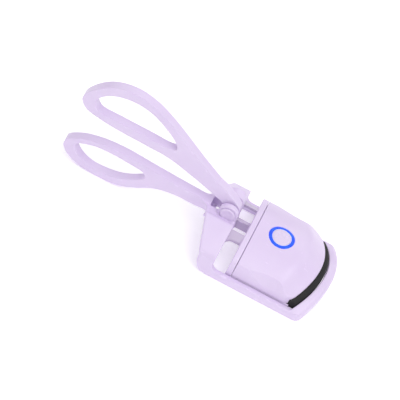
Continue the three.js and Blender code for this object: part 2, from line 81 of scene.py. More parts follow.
# ---- Sizes that the CAD model sets, in millimetres -----------------------------------------
PIVOT = [v / MM for v in frame["joints"][0]["pos_m"]]
FRAME_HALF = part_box("frame")[1].y / MM
ARM_T = 1.9
ARM_H = 3.9
ARM_REAR = 14
ARM_FRONT = 51.5
ARM_IN = FRAME_HALF - ARM_T
SLIDER_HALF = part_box("top_cover")[1].y / MM
HANDLE_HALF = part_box("lever")[1].y / MM
REAR_FACE = 20.9
SHELL_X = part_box("top_cover")[0].x / MM
SLOT_HALF = 2.5
RING_LO, RING_HI = (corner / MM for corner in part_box("light_ring"))
BUTTON_X = (RING_LO.x + RING_HI.x) / 2
RING_OUTER = (RING_HI.x - RING_LO.x) / 2
BUTTON_R = (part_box("power_button")[1].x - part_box("power_button")[0].x) / MM / 2
TOP_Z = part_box("top_cover")[1].z / MM
GAP = 0.15  # room left round a piece that sits in another
ARCH_HALF = 18.4
RIM_REACH = 2.55  # from the slider's lip to the inner edge of the rim


def arch(crown, drop, half):
    """A line that is at its crown on the middle plane and has dropped by drop at y = half."""
    return lambda y: crown - drop * (y / half) ** 2


top_z = arch(16.8, 5.5, ARCH_HALF)
crease_x = arch(44.35, 3.9, ARCH_HALF)
lip_x = arch(52.6, 5.2, ARCH_HALF)
lip_z = arch(11.4, 4.5, ARCH_HALF)
belly_z = arch(5.6, 4.6, ARCH_HALF)
part_z = arch(8.6, 4.6, ARCH_HALF)
rim_top = arch(9.2, 5.3, FRAME_HALF)
rim_below = arch(5.0, 5.0, FRAME_HALF)
rim_outer = arch(58.6, 4.8, FRAME_HALF)


def rim_inner(y):
    return lip_x(y) + RIM_REACH


# ---- Solids ---------------------------------------------------------------------------------
def new_object(name, verts, faces):
    """A mesh object from points in millimetres."""
    mesh = bpy.data.meshes.new(name)
    mesh.from_pydata([tuple(c * MM for c in v) for v in verts], [], faces)
    bm = bmesh.new()
    bm.from_mesh(mesh)
    bmesh.ops.recalc_face_normals(bm, faces=bm.faces)
    bmesh.ops.triangulate(bm, faces=[f for f in bm.faces if len(f.verts) > 4])
    bm.to_mesh(mesh)
    bm.free()
    obj = bpy.data.objects.new(name, mesh)
    bpy.context.scene.collection.objects.link(obj)
    return obj


def stacked(rings, name="solid"):
    """A closed solid through rings that each have the same number of points."""
    n = len(rings[0])
    verts = [p for ring in rings for p in ring]
    faces = [list(range(n)), list(range((len(rings) - 1) * n, len(rings) * n))]
    for r in range(len(rings) - 1):
        for i in range(n):
            a, b = r * n + i, r * n + (i + 1) % n
            faces.append([a, b, b + n, a + n])
    return new_object(name, verts, faces)


def loft(section, half, count=72):
    """A closed solid whose (x, z) outline changes with y, from -half to half."""
    ys = np.linspace(-half, half, count + 1)
    return stacked([[(x, y, z) for x, z in section(y)] for y in ys])


def across_y(outline, y0, y1):
    return stacked([[(x, y, z) for x, z in outline] for y in (y0, y1)])


def along_x(outline, x0, x1):
    return stacked([[(x, y, z) for y, z in outline] for x in (x0, x1)])


def up_z(outline, z0, z1):
    return stacked([[(x, y, z) for x, y in outline] for z in (z0, z1)])


def block(x0, x1, y0, y1, z0, z1):
    return up_z([(x0, y0), (x1, y0), (x1, y1), (x0, y1)], z0, z1)


def circle(cx, cy, r, count=96):
    turns = [2 * math.pi * i / count for i in range(count)]
    return [(cx + r * math.cos(t), cy + r * math.sin(t)) for t in turns]


def half_circle(cx, cy, r, steps):
    """Half a turn of points; a negative radius gives the opposite half."""
    turns = [math.pi * i / steps for i in range(steps + 1)]
    return [(cx + r * math.cos(t), cy + r * math.sin(t)) for t in turns]


def rod_y(r, y0, y1, x, z):
    return across_y(circle(x, z, r), y0, y1)


def rounded(points, radii, steps=6):
    """The polygon with each corner turned into a curve that starts its radius away from the corner."""
    if not isinstance(radii, (list, tuple)):
        radii = [radii] * len(points)
    out = []
    for i, (p, r) in enumerate(zip(points, radii)):
        corner = Vector(p)
        before = Vector(points[i - 1]) - corner
        after = Vector(points[(i + 1) % len(points)]) - corner
        reach = min(r, before.length * 0.49, after.length * 0.49)
        if reach < 0.01:
            out.append(tuple(corner))
            continue
        a = corner + before.normalized() * reach
        b = corner + after.normalized() * reach
        for k in range(steps + 1):
            t = k / steps
            q = a * (1 - t) ** 2 + corner * 2 * t * (1 - t) + b * t ** 2
            out.append(tuple(q))
    return out


def spline(points, closed, per_span=12):
    """Centripetal Catmull-Rom curve through the points."""
    pts = [Vector(p) for p in points]
    if closed:
        pts = [pts[-1]] + pts + [pts[0], pts[1]]
    else:
        pts = [2 * pts[0] - pts[1]] + pts + [2 * pts[-1] - pts[-2]]
    out = []
    for i in range(1, len(pts) - 2):
        p0, p1, p2, p3 = pts[i - 1 : i + 3]
        t0 = 0.0
        t1 = t0 + math.sqrt((p1 - p0).length)
        t2 = t1 + math.sqrt((p2 - p1).length)
        t3 = t2 + math.sqrt((p3 - p2).length)
        for k in range(per_span):
            t = t1 + (t2 - t1) * k / per_span
            a1 = p0 * ((t1 - t) / (t1 - t0)) + p1 * ((t - t0) / (t1 - t0))
            a2 = p1 * ((t2 - t) / (t2 - t1)) + p2 * ((t - t1) / (t2 - t1))
            a3 = p2 * ((t3 - t) / (t3 - t2)) + p3 * ((t - t2) / (t3 - t2))
            b1 = a1 * ((t2 - t) / (t2 - t0)) + a2 * ((t - t0) / (t2 - t0))
            b2 = a2 * ((t3 - t) / (t3 - t1)) + a3 * ((t - t1) / (t3 - t1))
            out.append(tuple(b1 * ((t2 - t) / (t2 - t1)) + b2 * ((t - t1) / (t2 - t1))))
    if not closed:
        out.append(tuple(pts[-2]))
    return out


def mirrored(points):
    """Points run from the middle plane outwards and back to it; the far half is added."""
    return points + [(-y, z) for y, z in reversed(points) if y > 0]


def apply_modifiers(obj):
    graph = bpy.context.evaluated_depsgraph_get()
    graph.update()
    made = bpy.data.meshes.new_from_object(obj.evaluated_get(graph))
    obj.modifiers.clear()
    old = obj.data
    obj.data = made
    bpy.data.meshes.remove(old)
    return obj


def drop(obj):
    mesh = obj.data
    bpy.data.objects.remove(obj)
    bpy.data.meshes.remove(mesh)


def boolean(obj, other, operation):
    mod = obj.modifiers.new("cut", "BOOLEAN")
    mod.object = other
    mod.operation = operation
    mod.solver = "MANIFOLD"
    apply_modifiers(obj)
    drop(other)
    return obj


def union(*pieces):
    whole = pieces[0]
    for piece in pieces[1:]:
        boolean(whole, piece, "UNION")
    return whole


def cut(obj, *cutters):
    for cutter in cutters:
        boolean(obj, cutter, "DIFFERENCE")
    return obj


def voxels(obj, size):
    mod = obj.modifiers.new("voxels", "REMESH")
    mod.mode = "VOXEL"
    mod.voxel_size = size * MM
    return apply_modifiers(obj)


def soften(obj, rounds, factor=0.5):
    mod = obj.modifiers.new("soften", "SMOOTH")
    mod.factor = factor
    mod.iterations = rounds
    return apply_modifiers(obj)


def lighten(obj, ratio):
    mod = obj.modifiers.new("lighten", "DECIMATE")
    mod.ratio = ratio
    return apply_modifiers(obj)


def moulded(obj, voxel=0.2, rounds=6, keep=0.4, reshape=None):
    """Turns a sharp solid into a moulding with small even edge rounds."""
    voxels(obj, voxel)
    if reshape:
        for v in obj.data.vertices:
            v.co = Vector(reshape(*(c / MM for c in v.co))) * MM
    soften(obj, rounds)
    if keep < 1:
        lighten(obj, keep)
    return obj


def within_box(obj, node):
    """Keeps every vertex inside the box of the CAD node that the piece stands for."""
    lo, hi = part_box(node)
    for v in obj.data.vertices:
        v.co = Vector(max(a, min(b, c)) for a, b, c in zip(lo, hi, v.co))
    return obj


def place(obj, name, body, slot, material, *nodes):
    obj.name = name
    obj.data.name = name
    obj.data.materials.clear()
    obj.data.materials.append(material)
    for polygon in obj.data.polygons:
        polygon.use_smooth = True
    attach(obj, body)
    if nodes:
        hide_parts(*nodes)
    return obj


# ---- Materials --------------------------------------------------------------------------------
def srgb(r, g, b):
    def linear(c):
        c /= 255
        return c / 12.92 if c <= 0.04045 else ((c + 0.055) / 1.055) ** 2.4

    return (linear(r), linear(g), linear(b), 1.0)


class Nodes:
    """A material's node tree, with short calls for the nodes used here."""

    def __init__(self, name):
        self.material = bpy.data.materials.new(name)
        self.material.use_nodes = True
        self.tree = self.material.node_tree
        self.shader = self.tree.nodes["Principled BSDF"]
        coords = self.tree.nodes.new("ShaderNodeTexCoord")
        self.coords = coords.outputs["Object"]

    def link(self, a, b):
        self.tree.links.new(a, b)

    def axis(self, name):
        node = self.tree.nodes.new("ShaderNodeSeparateXYZ")
        self.link(self.coords, node.inputs["Vector"])
        return node.outputs[name]

    def noise(self, scale, detail=3.0, roughness=0.5, stretch=None):
        node = self.tree.nodes.new("ShaderNodeTexNoise")
        node.inputs["Scale"].default_value = scale
        node.inputs["Detail"].default_value = detail
        node.inputs["Roughness"].default_value = roughness
        source = self.coords
        if stretch:
            mapping = self.tree.nodes.new("ShaderNodeMapping")
            mapping.inputs["Scale"].default_value = stretch
            self.link(self.coords, mapping.inputs["Vector"])
            source = mapping.outputs["Vector"]
        self.link(source, node.inputs["Vector"])
        return node.outputs["Fac"]

    def ramp(self, source, low, high, a, b):
        node = self.tree.nodes.new("ShaderNodeMapRange")
        node.inputs["From Min"].default_value = low
        node.inputs["From Max"].default_value = high
        node.inputs["To Min"].default_value = a
        node.inputs["To Max"].default_value = b
        self.link(source, node.inputs["Value"])
        return node.outputs["Result"]

    def colours(self, source, stops):
        node = self.tree.nodes.new("ShaderNodeValToRGB")
        ramp = node.color_ramp
        while len(ramp.elements) < len(stops):
            ramp.elements.new(0.5)
        for element, (at, colour) in zip(ramp.elements, stops):
            element.position = at
            element.color = colour
        self.link(source, node.inputs["Fac"])
        return node.outputs["Color"]

    def bump(self, height, strength, distance, below=None):
        node = self.tree.nodes.new("ShaderNodeBump")
        node.inputs["Strength"].default_value = strength
        node.inputs["Distance"].default_value = distance
        self.link(height, node.inputs["Height"])
        if below:
            self.link(below, node.inputs["Normal"])
        self.link(node.outputs["Normal"], self.shader.inputs["Normal"])
        return node.outputs["Normal"]

    def edge(self, low=0.48, high=0.56):
        """1 along convex edges and 0 elsewhere."""
        node = self.tree.nodes.new("ShaderNodeNewGeometry")
        return self.ramp(node.outputs["Pointiness"], low, high, 0, 1)

    def mix(self, factor, a, b):
        node = self.tree.nodes.new("ShaderNodeMix")
        node.data_type = "RGBA"
        for source, socket in ((factor, node.inputs[0]), (a, node.inputs[6]), (b, node.inputs[7])):
            if isinstance(source, (tuple, float, int)):
                socket.default_value = source
            else:
                self.link(source, socket)
        return node.outputs[2]


def satin_plastic(name, pale, deep, roughness, rear=None, rear_x=0.0):
    """Moulded plastic: faint cloudiness, a fine spark-eroded grain and a painted highlight that lightens
    the convex edges.
    Behind rear_x the piece takes the rear colour, which is painted shade."""
    m = Nodes(name)
    cloud = m.noise(90, 2)
    base = m.colours(cloud, [(0.35, deep), (0.65, pale)])
    # Painted shade: behind rear_x the colour turns to the darker rear colour, standing in for the shade
    # between the bridge and the slider.
    if rear:
        base = m.mix(m.ramp(m.axis("X"), rear_x - 0.3 * MM, rear_x, 1, 0), base, rear)
    # Painted highlight: convex edges take a lighter colour than the rest of the plastic.
    edge_highlight_mask = m.edge(0.54, 0.64)
    highlight_colour = tuple(min(1.0, c * 1.06) for c in pale[:3]) + (1.0,)
    m.link(m.mix(edge_highlight_mask, base, highlight_colour), m.shader.inputs["Base Color"])
    smudge = m.noise(160, 4, 0.6)
    m.link(m.ramp(smudge, 0.3, 0.7, roughness - 0.03, roughness + 0.04), m.shader.inputs["Roughness"])
    grain = m.noise(5200, 2, 0.6)
    wave = m.noise(260, 2)
    first = m.bump(wave, 0.03, 0.0003)
    m.bump(grain, 0.05, 0.00003, first)
    m.shader.inputs["Subsurface Weight"].default_value = 0.06
    m.shader.inputs["Subsurface Radius"].default_value = (0.0020, 0.0014, 0.0022)
    m.shader.inputs["Subsurface Scale"].default_value = 0.4
    m.shader.inputs["IOR"].default_value = 1.49
    return m.material


PALE_LILAC = srgb(228, 212, 243)
DEEP_LILAC = srgb(225, 208, 241)
# Painted shade: a darker lilac that stands in for the shade on the yoke's prongs and web between the bridge
# and the slider.
PAINTED_SHADE_LILAC = srgb(199, 184, 212)
LILAC = satin_plastic("lilac_satin", PALE_LILAC, DEEP_LILAC, 0.32)
# This material paints shade on the yoke behind its rear face.
LILAC_WITH_PAINTED_SHADE = satin_plastic("lilac_painted_shade", PALE_LILAC, DEEP_LILAC, 0.32, PAINTED_SHADE_LILAC, (REAR_FACE - 0.1) * MM)
LILAC_CAP = satin_plastic("lilac_button", srgb(226, 211, 240), srgb(223, 208, 238), 0.27)


def silicone():
    m = Nodes("black_silicone")
    cloud = m.noise(140, 3)
    black = m.colours(cloud, [(0.3, srgb(40, 40, 41)), (0.7, srgb(50, 49, 50))])
    m.link(black, m.shader.inputs["Base Color"])
    dust = m.noise(900, 3, 0.7)
    m.link(m.ramp(dust, 0.3, 0.7, 0.58, 0.74), m.shader.inputs["Roughness"])
    m.bump(m.noise(3000, 2, 0.6), 0.2, 0.00004)
    m.shader.inputs["IOR"].default_value = 1.42
    m.shader.inputs["Specular IOR Level"].default_value = 0.3
    return m.material


def lit_ring():
    m = Nodes("blue_light")
    glow = m.noise(420, 2)
    lens = m.colours(glow, [(0.3, srgb(8, 62, 236)), (0.7, srgb(16, 86, 255))])
    m.link(lens, m.shader.inputs["Base Color"])
    light = m.colours(glow, [(0.3, srgb(0, 72, 255)), (0.7, srgb(20, 104, 255))])
    m.link(light, m.shader.inputs["Emission Color"])
    m.shader.inputs["Emission Strength"].default_value = 0.42
    m.link(m.ramp(m.noise(900, 3), 0.3, 0.7, 0.28, 0.36), m.shader.inputs["Roughness"])
    m.bump(m.noise(2500, 2), 0.08, 0.00003)
    return m.material


def metal(name, colour, dark, roughness, stretch):
    m = Nodes(name)
    lines = m.noise(1500, 4, 0.6, stretch)
    m.link(m.colours(lines, [(0.3, dark), (0.7, colour)]), m.shader.inputs["Base Color"])
    m.shader.inputs["Metallic"].default_value = 1.0
    m.link(m.ramp(lines, 0.3, 0.7, roughness, roughness + 0.16), m.shader.inputs["Roughness"])
    m.bump(lines, 0.15, 0.00002)
    return m.material


def plain_plastic(name, pale, deep, roughness, grain=2600):
    m = Nodes(name)
    m.link(m.colours(m.noise(300, 3), [(0.3, deep), (0.7, pale)]), m.shader.inputs["Base Color"])
    rough = m.ramp(m.noise(700, 3), 0.3, 0.7, roughness - 0.06, roughness + 0.08)
    m.link(rough, m.shader.inputs["Roughness"])
    m.bump(m.noise(grain, 2, 0.6), 0.15, 0.00003)
    return m.material


SILICONE = silicone()
BLUE = lit_ring()
STEEL = metal("steel", srgb(196, 198, 202), srgb(160, 162, 167), 0.24, (1, 1, 8))
ALUMINIUM = metal("aluminium", srgb(214, 215, 218), srgb(188, 190, 194), 0.3, (8, 1, 1))
CELL = metal("cell_pouch", srgb(178, 182, 190), srgb(150, 155, 164), 0.35, (1, 3, 1))
NYLON = plain_plastic("nylon", srgb(242, 240, 243), srgb(232, 230, 235), 0.42)
BOARD = plain_plastic("board", srgb(34, 104, 66), srgb(22, 84, 52), 0.4, 1200)
BLACK = plain_plastic("black_plastic", srgb(40, 40, 43), srgb(28, 28, 31), 0.45)
FILM = plain_plastic("amber_film", srgb(196, 128, 56), srgb(170, 104, 40), 0.3, 900)

# ---- Handles ----------------------------------------------------------------------------------
FIXED_OUTLINE = [
    (4.5, 17.0), (-2, 17.2), (-14.9, 17.7), (-24, 18.2), (-34.1, 18.7), (-44.2, 17.6), (-52.4, 14.4),
    (-57.0, 9.6), (-54.5, 4.4), (-48.0, 1.0), (-40.5, 0.0), (-31.6, 0.9), (-24.9, 4.3), (-18.2, 9.0),
    (-10.7, 11.2), (-2.3, 11.5), (4.5, 12.2),
]
FIXED_HOLE = [
    (-52.4, 10.8), (-46.4, 14.3), (-39.5, 15.3), (-31.0, 15.0), (-24.2, 14.0), (-23.2, 12.0),
    (-27.0, 7.9), (-31.9, 5.0), (-37.6, 3.6), (-43.6, 3.4), (-49.6, 6.2),
]
LEVER_OUTLINE = [
    (2.8, 28.8), (-6.5, 34.7), (-14.9, 40.5), (-23.2, 45.9), (-31.6, 50.0), (-40.0, 51.5), (-48.4, 49.3),
    (-54.6, 43.6), (-57.9, 36.0), (-55.0, 31.6), (-48.4, 29.7), (-39.0, 28.8), (-28.0, 28.6),
    (-18.2, 28.2), (-6.5, 25.1), (1.9, 22.4),
]
LEVER_HOLE = [
    (-52.6, 38.2), (-48.6, 43.9), (-40.4, 46.9), (-31.6, 46.0), (-24.0, 42.0), (-18.4, 37.4),
    (-17.2, 34.4), (-19.6, 33.3), (-30.0, 33.3), (-41.0, 33.3), (-50.2, 33.8),
]
LEVER_NOSE = [(6.5, 20.7), (8.4, 19.2), (15.0, 19.6), (14.5, 21.5), (11.6, 24.1), (7.0, 27.1)]
LUG_R = 3.9
LUG_NEAR = 4.6
LUG_FAR = 6.6
HEAD_R = 3.05
HEAD_OUTER = -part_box("pivot_pin")[0].y / MM
CAP_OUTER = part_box("pivot_cap")[1].y / MM
SLOT_FLOOR = 13
SLOT_OPEN_X = 6.2  # ahead of this the lever's slot goes right through the bridge
PIVOT_BORE_R = 1.6
DRIVE_BORE_R = 1.1
FILLET = 3.1
RAIL_DEPTH = 0.6
RAIL_X = (17.5, 46)
RAIL_Z = (1.9, 2.7)
HUB_R = 3.7
FORK_HALF = 1.1


def handle(outline, hole, closing=()):
    """A stem with its finger loop, flat on both sides."""
    body = across_y(spline(outline, False) + list(closing), -HANDLE_HALF, HANDLE_HALF)
    return cut(body, across_y(spline(hole, True), -5, 5))


def bridge():
    """The arch from arm to arm: its section across y, cut to its outline from the side."""
    section = rounded(mirrored([
        (0, 16.8), (6.2, 16.8), (6.9, 17.45), (7.8, 17.2), (19.2, 10.6), (FRAME_HALF, 9.2),
        (FRAME_HALF, 0), (ARM_IN, 0), (ARM_IN, 8.6), (13.4, 11.6), (12.9, 12.5), (7.0, 16.05),
        (5.5, 15.6), (5.5, 12), (0, 12),
    ]), 1.2)
    side = rounded([
        (-4, 30), (-4, 9.8), (7.2, 9.8), (8.5, 8.6), (8.8, 4.6), (10.6, 1.2), (12.6, 0), (30, 0), (30, 30),
    ], 1.5)
    return boolean(along_x(section, -1, 15.3), across_y(side, -30, 30), "INTERSECT")


def head_outline():
    """The frame's head seen from above, as a tall block."""
    corner = 5.0
    half = rounded([
        (3.2, 6.2), (8.5, FRAME_HALF), (53.9, FRAME_HALF), (55.9, FRAME_HALF - corner), (60, 12),
        (60, 0), (3.2, 0),
    ], [0, 2.0, corner, 0.5, 0, 0, 0], 10)
    half = [p for p in half if p[1] > 0]
    return up_z(half + [(x, -y) for x, y in reversed(half)], -1, 40)


def front_rim():
    def section(y):
        inner, outer, top, below = rim_inner(y), rim_outer(y), rim_top(y), rim_below(y)
        return rounded([
            (inner, below), (outer, below), (outer, top - 0.9), (outer - 1.2, top), (inner, top),
        ], [0.2, 0.7, 0.9, 0.9, 0.3], 4)

    return loft(section, FRAME_HALF, 96)


def lug(side):
    dome = half_circle(PIVOT[0], PIVOT[2], LUG_R, 40)
    outline = dome + [(PIVOT[0] - LUG_R, 14), (PIVOT[0] + LUG_R, 14)]
    lo, hi = sorted((side * SLOT_HALF, LUG_FAR if side > 0 else -LUG_NEAR))
    return across_y(outline, lo, hi)


def flare():
    """The gusset between stem and bridge: it widens upwards and towards the bridge."""
    low, rise = 12.0, 4.75
    root = HANDLE_HALF - 0.1
    curve = spline([(-4.0, HANDLE_HALF), (0.2, 2.1), (2.6, 3.6), (3.7, 6.8), (5.5, 7.4)], False, 8)
    rings = []
    for t in np.linspace(0, 1, 10):
        spread = 0.12 + 0.88 * t ** 1.5
        half = [(x, root + (y - root) * spread, low + rise * t) for x, y in curve]
        rings.append(half + [(x, -y, z) for x, y, z in reversed(half)])
    return stacked(rings)


def arm_fillet(lo, hi):
    """The inner corner between a side arm and the bridge's leg."""
    leg = 15.3
    curve = [(leg + FILLET * (1 - t) ** 2, ARM_H + FILLET * t ** 2) for t in np.linspace(0, 1, 12)]
    return across_y([(14.8, 3.4), (18.4, 3.4)] + curve + [(14.8, 7.0)], lo, hi)


def frame_body():
    pieces = [bridge(), front_rim()]
    for s in (-1, 1):
        lo, hi = sorted((s * ARM_IN, s * FRAME_HALF))
        pieces.append(block(ARM_REAR, ARM_FRONT, lo, hi, 0, ARM_H))
        pieces.append(arm_fillet(lo, hi))
        lo, hi = sorted((s * (ARM_IN + 0.4), s * (ARM_IN - RAIL_DEPTH)))
        pieces.append(block(RAIL_X[0], RAIL_X[1], lo, hi, RAIL_Z[0], RAIL_Z[1]))
    head = boolean(union(*pieces), head_outline(), "INTERSECT")
    body = union(head, handle(FIXED_OUTLINE, FIXED_HOLE), flare(), lug(-1), lug(1))
    return cut(
        body,
        block(3.9, 30, -SLOT_HALF, SLOT_HALF, SLOT_FLOOR, 30),
        block(SLOT_OPEN_X, 30, -SLOT_HALF, SLOT_HALF, 11, SLOT_FLOOR + 1),
        rod_y(PIVOT_BORE_R, -8, 8, PIVOT[0], PIVOT[2]),
    )


place(within_box(moulded(frame_body(), 0.2, 7), "frame"), "frame_moulding", "frame", "lilac_plastic",
      LILAC, "frame")

DRIVE_LO, DRIVE_HI = (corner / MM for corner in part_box("drive_pin"))
DRIVE = ((DRIVE_LO.x + DRIVE_HI.x) / 2, (DRIVE_LO.z + DRIVE_HI.z) / 2)
LEAN = math.atan2(DRIVE[0] - PIVOT[0], PIVOT[2] - DRIVE[1])


def lever_body():
    """Loop, stem, hub and the forked crank that carries the drive pin."""
    side = 2.2
    around = [LEAN + math.pi + math.pi * t / 32 for t in range(33)]
    crank = [(PIVOT[0] - 3.5 * math.cos(LEAN), PIVOT[2])]
    crank += [(DRIVE[0] + side * math.cos(a), DRIVE[1] + side * math.sin(a)) for a in around]
    crank += [(PIVOT[0] + 3.7 * math.cos(LEAN), PIVOT[2] + 1)]
    whole = union(
        handle(LEVER_OUTLINE, LEVER_HOLE, rounded(LEVER_NOSE, [0, 0.8, 0.4, 1.6, 2.0, 0])),
        across_y(crank, -HANDLE_HALF, HANDLE_HALF),
        rod_y(HUB_R, -HANDLE_HALF, HANDLE_HALF, PIVOT[0], PIVOT[2]),
    )
    slot = cut(block(0, 24, -FORK_HALF, FORK_HALF, 0, PIVOT[2]), rod_y(HUB_R, -3, 3, PIVOT[0], PIVOT[2]))
    return cut(
        whole, slot,
        rod_y(PIVOT_BORE_R, -5, 5, PIVOT[0], PIVOT[2]),
        rod_y(DRIVE_BORE_R, -5, 5, DRIVE[0], DRIVE[1]),
    )


place(within_box(moulded(lever_body(), 0.18, 6), "lever"), "lever_moulding", "lever", "lilac_plastic",
      LILAC, "lever")


def turned(profile, x, z, name, count=96):
    """A closed turned solid about an axis along y: profile is (y, radius) pairs from axis to axis."""
    rings = [
        [(x + r * math.cos(2 * math.pi * i / count), y, z + r * math.sin(2 * math.pi * i / count))
         for i in range(count)]
        for y, r in profile
    ]
    return stacked(rings, name)


def head_rows(sign, lug, outer, shank):
    """Half profile of the pin head or cap, from its shank out to the dished face."""
    inner = lug + 0.15
    rows = [(inner, shank), (inner, HEAD_R - 0.1), (inner + 0.1, HEAD_R), (outer - 0.3, HEAD_R)]
    rows += [(outer - 0.1, HEAD_R - 0.12), (outer, HEAD_R - 0.4), (outer, 2.2)]
    rows += [(outer - 0.12, 2.05), (outer - 0.12, 0.02)]
    return [(sign * y, r) for y, r in rows]


AXIS_R = 0.02  # a turned solid's end points stay this far from its axis
PIN_R = 1.5
pin_end = LUG_FAR + 0.35
pin = turned([(pin_end, AXIS_R), (pin_end, PIN_R)] + head_rows(-1, LUG_NEAR, HEAD_OUTER, PIN_R),
             PIVOT[0], PIVOT[2], "pivot_pin_turned")
place(pin, "pivot_pin_turned", "frame", "lilac_plastic", LILAC, "pivot_pin")
bore_end = LUG_FAR + 0.45
cap = turned([(bore_end, AXIS_R), (bore_end, PIVOT_BORE_R)] + head_rows(1, LUG_FAR, CAP_OUTER, 1.62),
             PIVOT[0], PIVOT[2], "pivot_cap_turned")
place(cap, "pivot_cap_turned", "frame", "lilac_plastic", LILAC, "pivot_cap")

# ---- Slider ------------------------------------------------------------------------------------
WALL = 1.2
GROOVE_DEPTH = 0.9
GROOVE_Z = (1.6, 3.0)
SCREW_HOLE_R = 0.95
CAP_SCREW_Y = 11.2
CAP_SCREW_Z = 8.0
FACET_LEAN = 0.3
FACET_LINE = [
    (20, 11.6), (27.8, 11.3), (31.2, 9.4), (35, 7.5), (37, 7.2), (40.8, 7.4), (44.2, 8.8), (48, 9.6),
]


def grooves():
    """Cutters for the two grooves that run on the arms' rails."""
    sides = [sorted((s * (ARM_IN - GROOVE_DEPTH), s * 19)) for s in (-1, 1)]
    return [block(10, 60, lo, hi, GROOVE_Z[0], GROOVE_Z[1]) for lo, hi in sides]


def side_facet(x, z):
    """How far the side panels lean in above the curved facet line."""
    line = np.interp(x, [p[0] for p in FACET_LINE], [p[1] for p in FACET_LINE])
    return FACET_LEAN * max(0.0, z - line)


def corner_width(x):
    """Half width of the slider along x: its front corners are rounded in plan."""
    start, tip, end = (44.2, SLIDER_HALF), (47.8, SLIDER_HALF), (49.4, 14.6)
    t = np.linspace(0, 1, 14)
    xs = start[0] * (1 - t) ** 2 + tip[0] * 2 * t * (1 - t) + end[0] * t ** 2
    ys = start[1] * (1 - t) ** 2 + tip[1] * 2 * t * (1 - t) + end[1] * t ** 2
    return np.interp(x, xs, ys) if x < end[0] else end[1] + 9


def lean_sides(x, y, z):
    """Moves a point of the slider in to its leaning sides and rounded front corners."""
    limit = min(SLIDER_HALF - side_facet(x, z), corner_width(x))
    return (x, max(-limit, min(limit, y)), z)


def rear_prong(side):
    """A flat prong behind the slider that runs under the bridge."""
    inner, thickness = 7.0, 1.4
    plan = rounded([
        (21.4, side * inner), (11.0, side * inner), (11.0, side * 12.0), (14.8, side * 12.0),
        (16.4, side * 10.4), (18.6, side * 10.2), (21.4, side * 10.2),
    ], [0, 0.3, 0.3, 0.8, 1.5, 1.0, 0])

    def height(y):
        return 15.65 - 0.6 * (abs(y) - inner)

    ends = [(side * 6, height(6)), (side * 12.4, height(12.4))]
    slab = along_x(ends + [(y, z - thickness) for y, z in reversed(ends)], 8, 24)
    return boolean(up_z(plan, 0, 30), slab, "INTERSECT")


def yoke_web():
    """The upright plate in the crank's fork, with the slot that the drive pin works in."""
    half = FORK_HALF - 0.3
    slot_r = 1.15
    x, z = DRIVE
    around = [math.pi + (math.pi - 0.25) * t / 24 for t in range(25)]
    foot = [(x + 2.4 * math.cos(a), z - 0.2 + 2.4 * math.sin(a)) for a in around]
    outline = [(21.4, 14.5), (12.2, 14.5), (11.4, 13.7)] + foot + [(16.7, 9.9), (17.8, 10.0), (21.4, 10.0)]
    plate = across_y(outline, -half, half)
    low = z - 0.34
    slot = half_circle(x, z + GAP, slot_r, 16) + half_circle(x, low - GAP, -slot_r, 16)
    return cut(plate, across_y(slot, -3, 3))


def yoke():
    """The rear cap with its spigot, prongs and web."""
    front = SHELL_X - GAP
    cap_body = loft(lambda y: rounded([
        (REAR_FACE, belly_z(y)), (front, belly_z(y)), (front, top_z(y)), (REAR_FACE, top_z(y)),
    ], [0.25, 0.1, 0.1, 0.35], 3), SLIDER_HALF)
    spigot = loft(lambda y: [
        (front - 0.8, belly_z(y) + WALL + GAP), (SHELL_X + 1.2, belly_z(y) + WALL + GAP),
        (SHELL_X + 1.2, top_z(y) - WALL - GAP), (front - 0.8, top_z(y) - WALL - GAP),
    ], SLIDER_HALF - WALL - 1.35, 48)
    whole = union(cap_body, spigot, rear_prong(-1), rear_prong(1), yoke_web())
    holes = []
    for s in (-1, 1):
        holes.append(along_x(circle(s * CAP_SCREW_Y, CAP_SCREW_Z, SCREW_HOLE_R, 32), 15, 30))
        holes.append(along_x(circle(s * CAP_SCREW_Y, CAP_SCREW_Z, 1.6, 48), 15, REAR_FACE + 1.0))
    return cut(whole, block(SHELL_X - 0.6, 30, -9.2, 9.2, 7.4, 13.6), *holes, *grooves())


# The yoke's prongs and web carry painted shade behind the rear face.
place(moulded(yoke(), 0.17, 4, reshape=lean_sides), "slider_yoke_moulding", "slider", "lilac_plastic",
      LILAC_WITH_PAINTED_SHADE, "slider_yoke")

PAD_SUNK, PAD_PROUD, PAD_HALF = 1.4, 2.25, 17.3


def pad_top(y):
    return lip_z(y) - 0.85


def pad_below(y):
    return lip_z(y) - 4.75


def pad_space():
    """The cutter for the groove that holds the pad, with room all round."""
    return loft(lambda y: [
        (lip_x(y) - PAD_SUNK - GAP, pad_below(y) - GAP), (lip_x(y) + 4, pad_below(y) - GAP),
        (lip_x(y) + 4, pad_top(y) + GAP), (lip_x(y) - PAD_SUNK - GAP, pad_top(y) + GAP),
    ], PAD_HALF + GAP)


def socket_opening():
    """The cutter for the charging socket's opening in the far side."""
    room = 0.2
    lo, hi = (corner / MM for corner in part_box("charge_socket"))
    outline = rounded([
        (lo.x - room, lo.z - room), (hi.x + room, lo.z - room),
        (hi.x + room, hi.z + room), (lo.x - room, hi.z + room),
    ], 1.6)
    return across_y(outline, 15, 20)


def upper(inset, extra):
    """The top cover's section, or its hollow when inset is more than 0."""
    def section(y):
        points = [
            (SHELL_X - extra, part_z(y) - extra), (SHELL_X - extra, top_z(y) - inset),
            (crease_x(y) - inset * 0.3, top_z(y) - inset), (lip_x(y) - inset, lip_z(y) - inset * 0.9),
            (lip_x(y) - inset, part_z(y) - extra),
        ]
        return points if inset else rounded(points, [0, 0.15, 1.8, 0.5, 0.1], 10)

    return section


def lower(inset, extra):
    """The bottom cover's section, or its hollow when inset is more than 0."""
    def section(y):
        points = [
            (SHELL_X - extra, belly_z(y) + inset), (lip_x(y) - inset, belly_z(y) + inset),
            (lip_x(y) - inset, part_z(y) - 0.3 + extra), (SHELL_X - extra, part_z(y) - 0.3 + extra),
        ]
        return points if inset else rounded(points, [0.2, 0.5, 0.1, 0.1], 4)

    return section


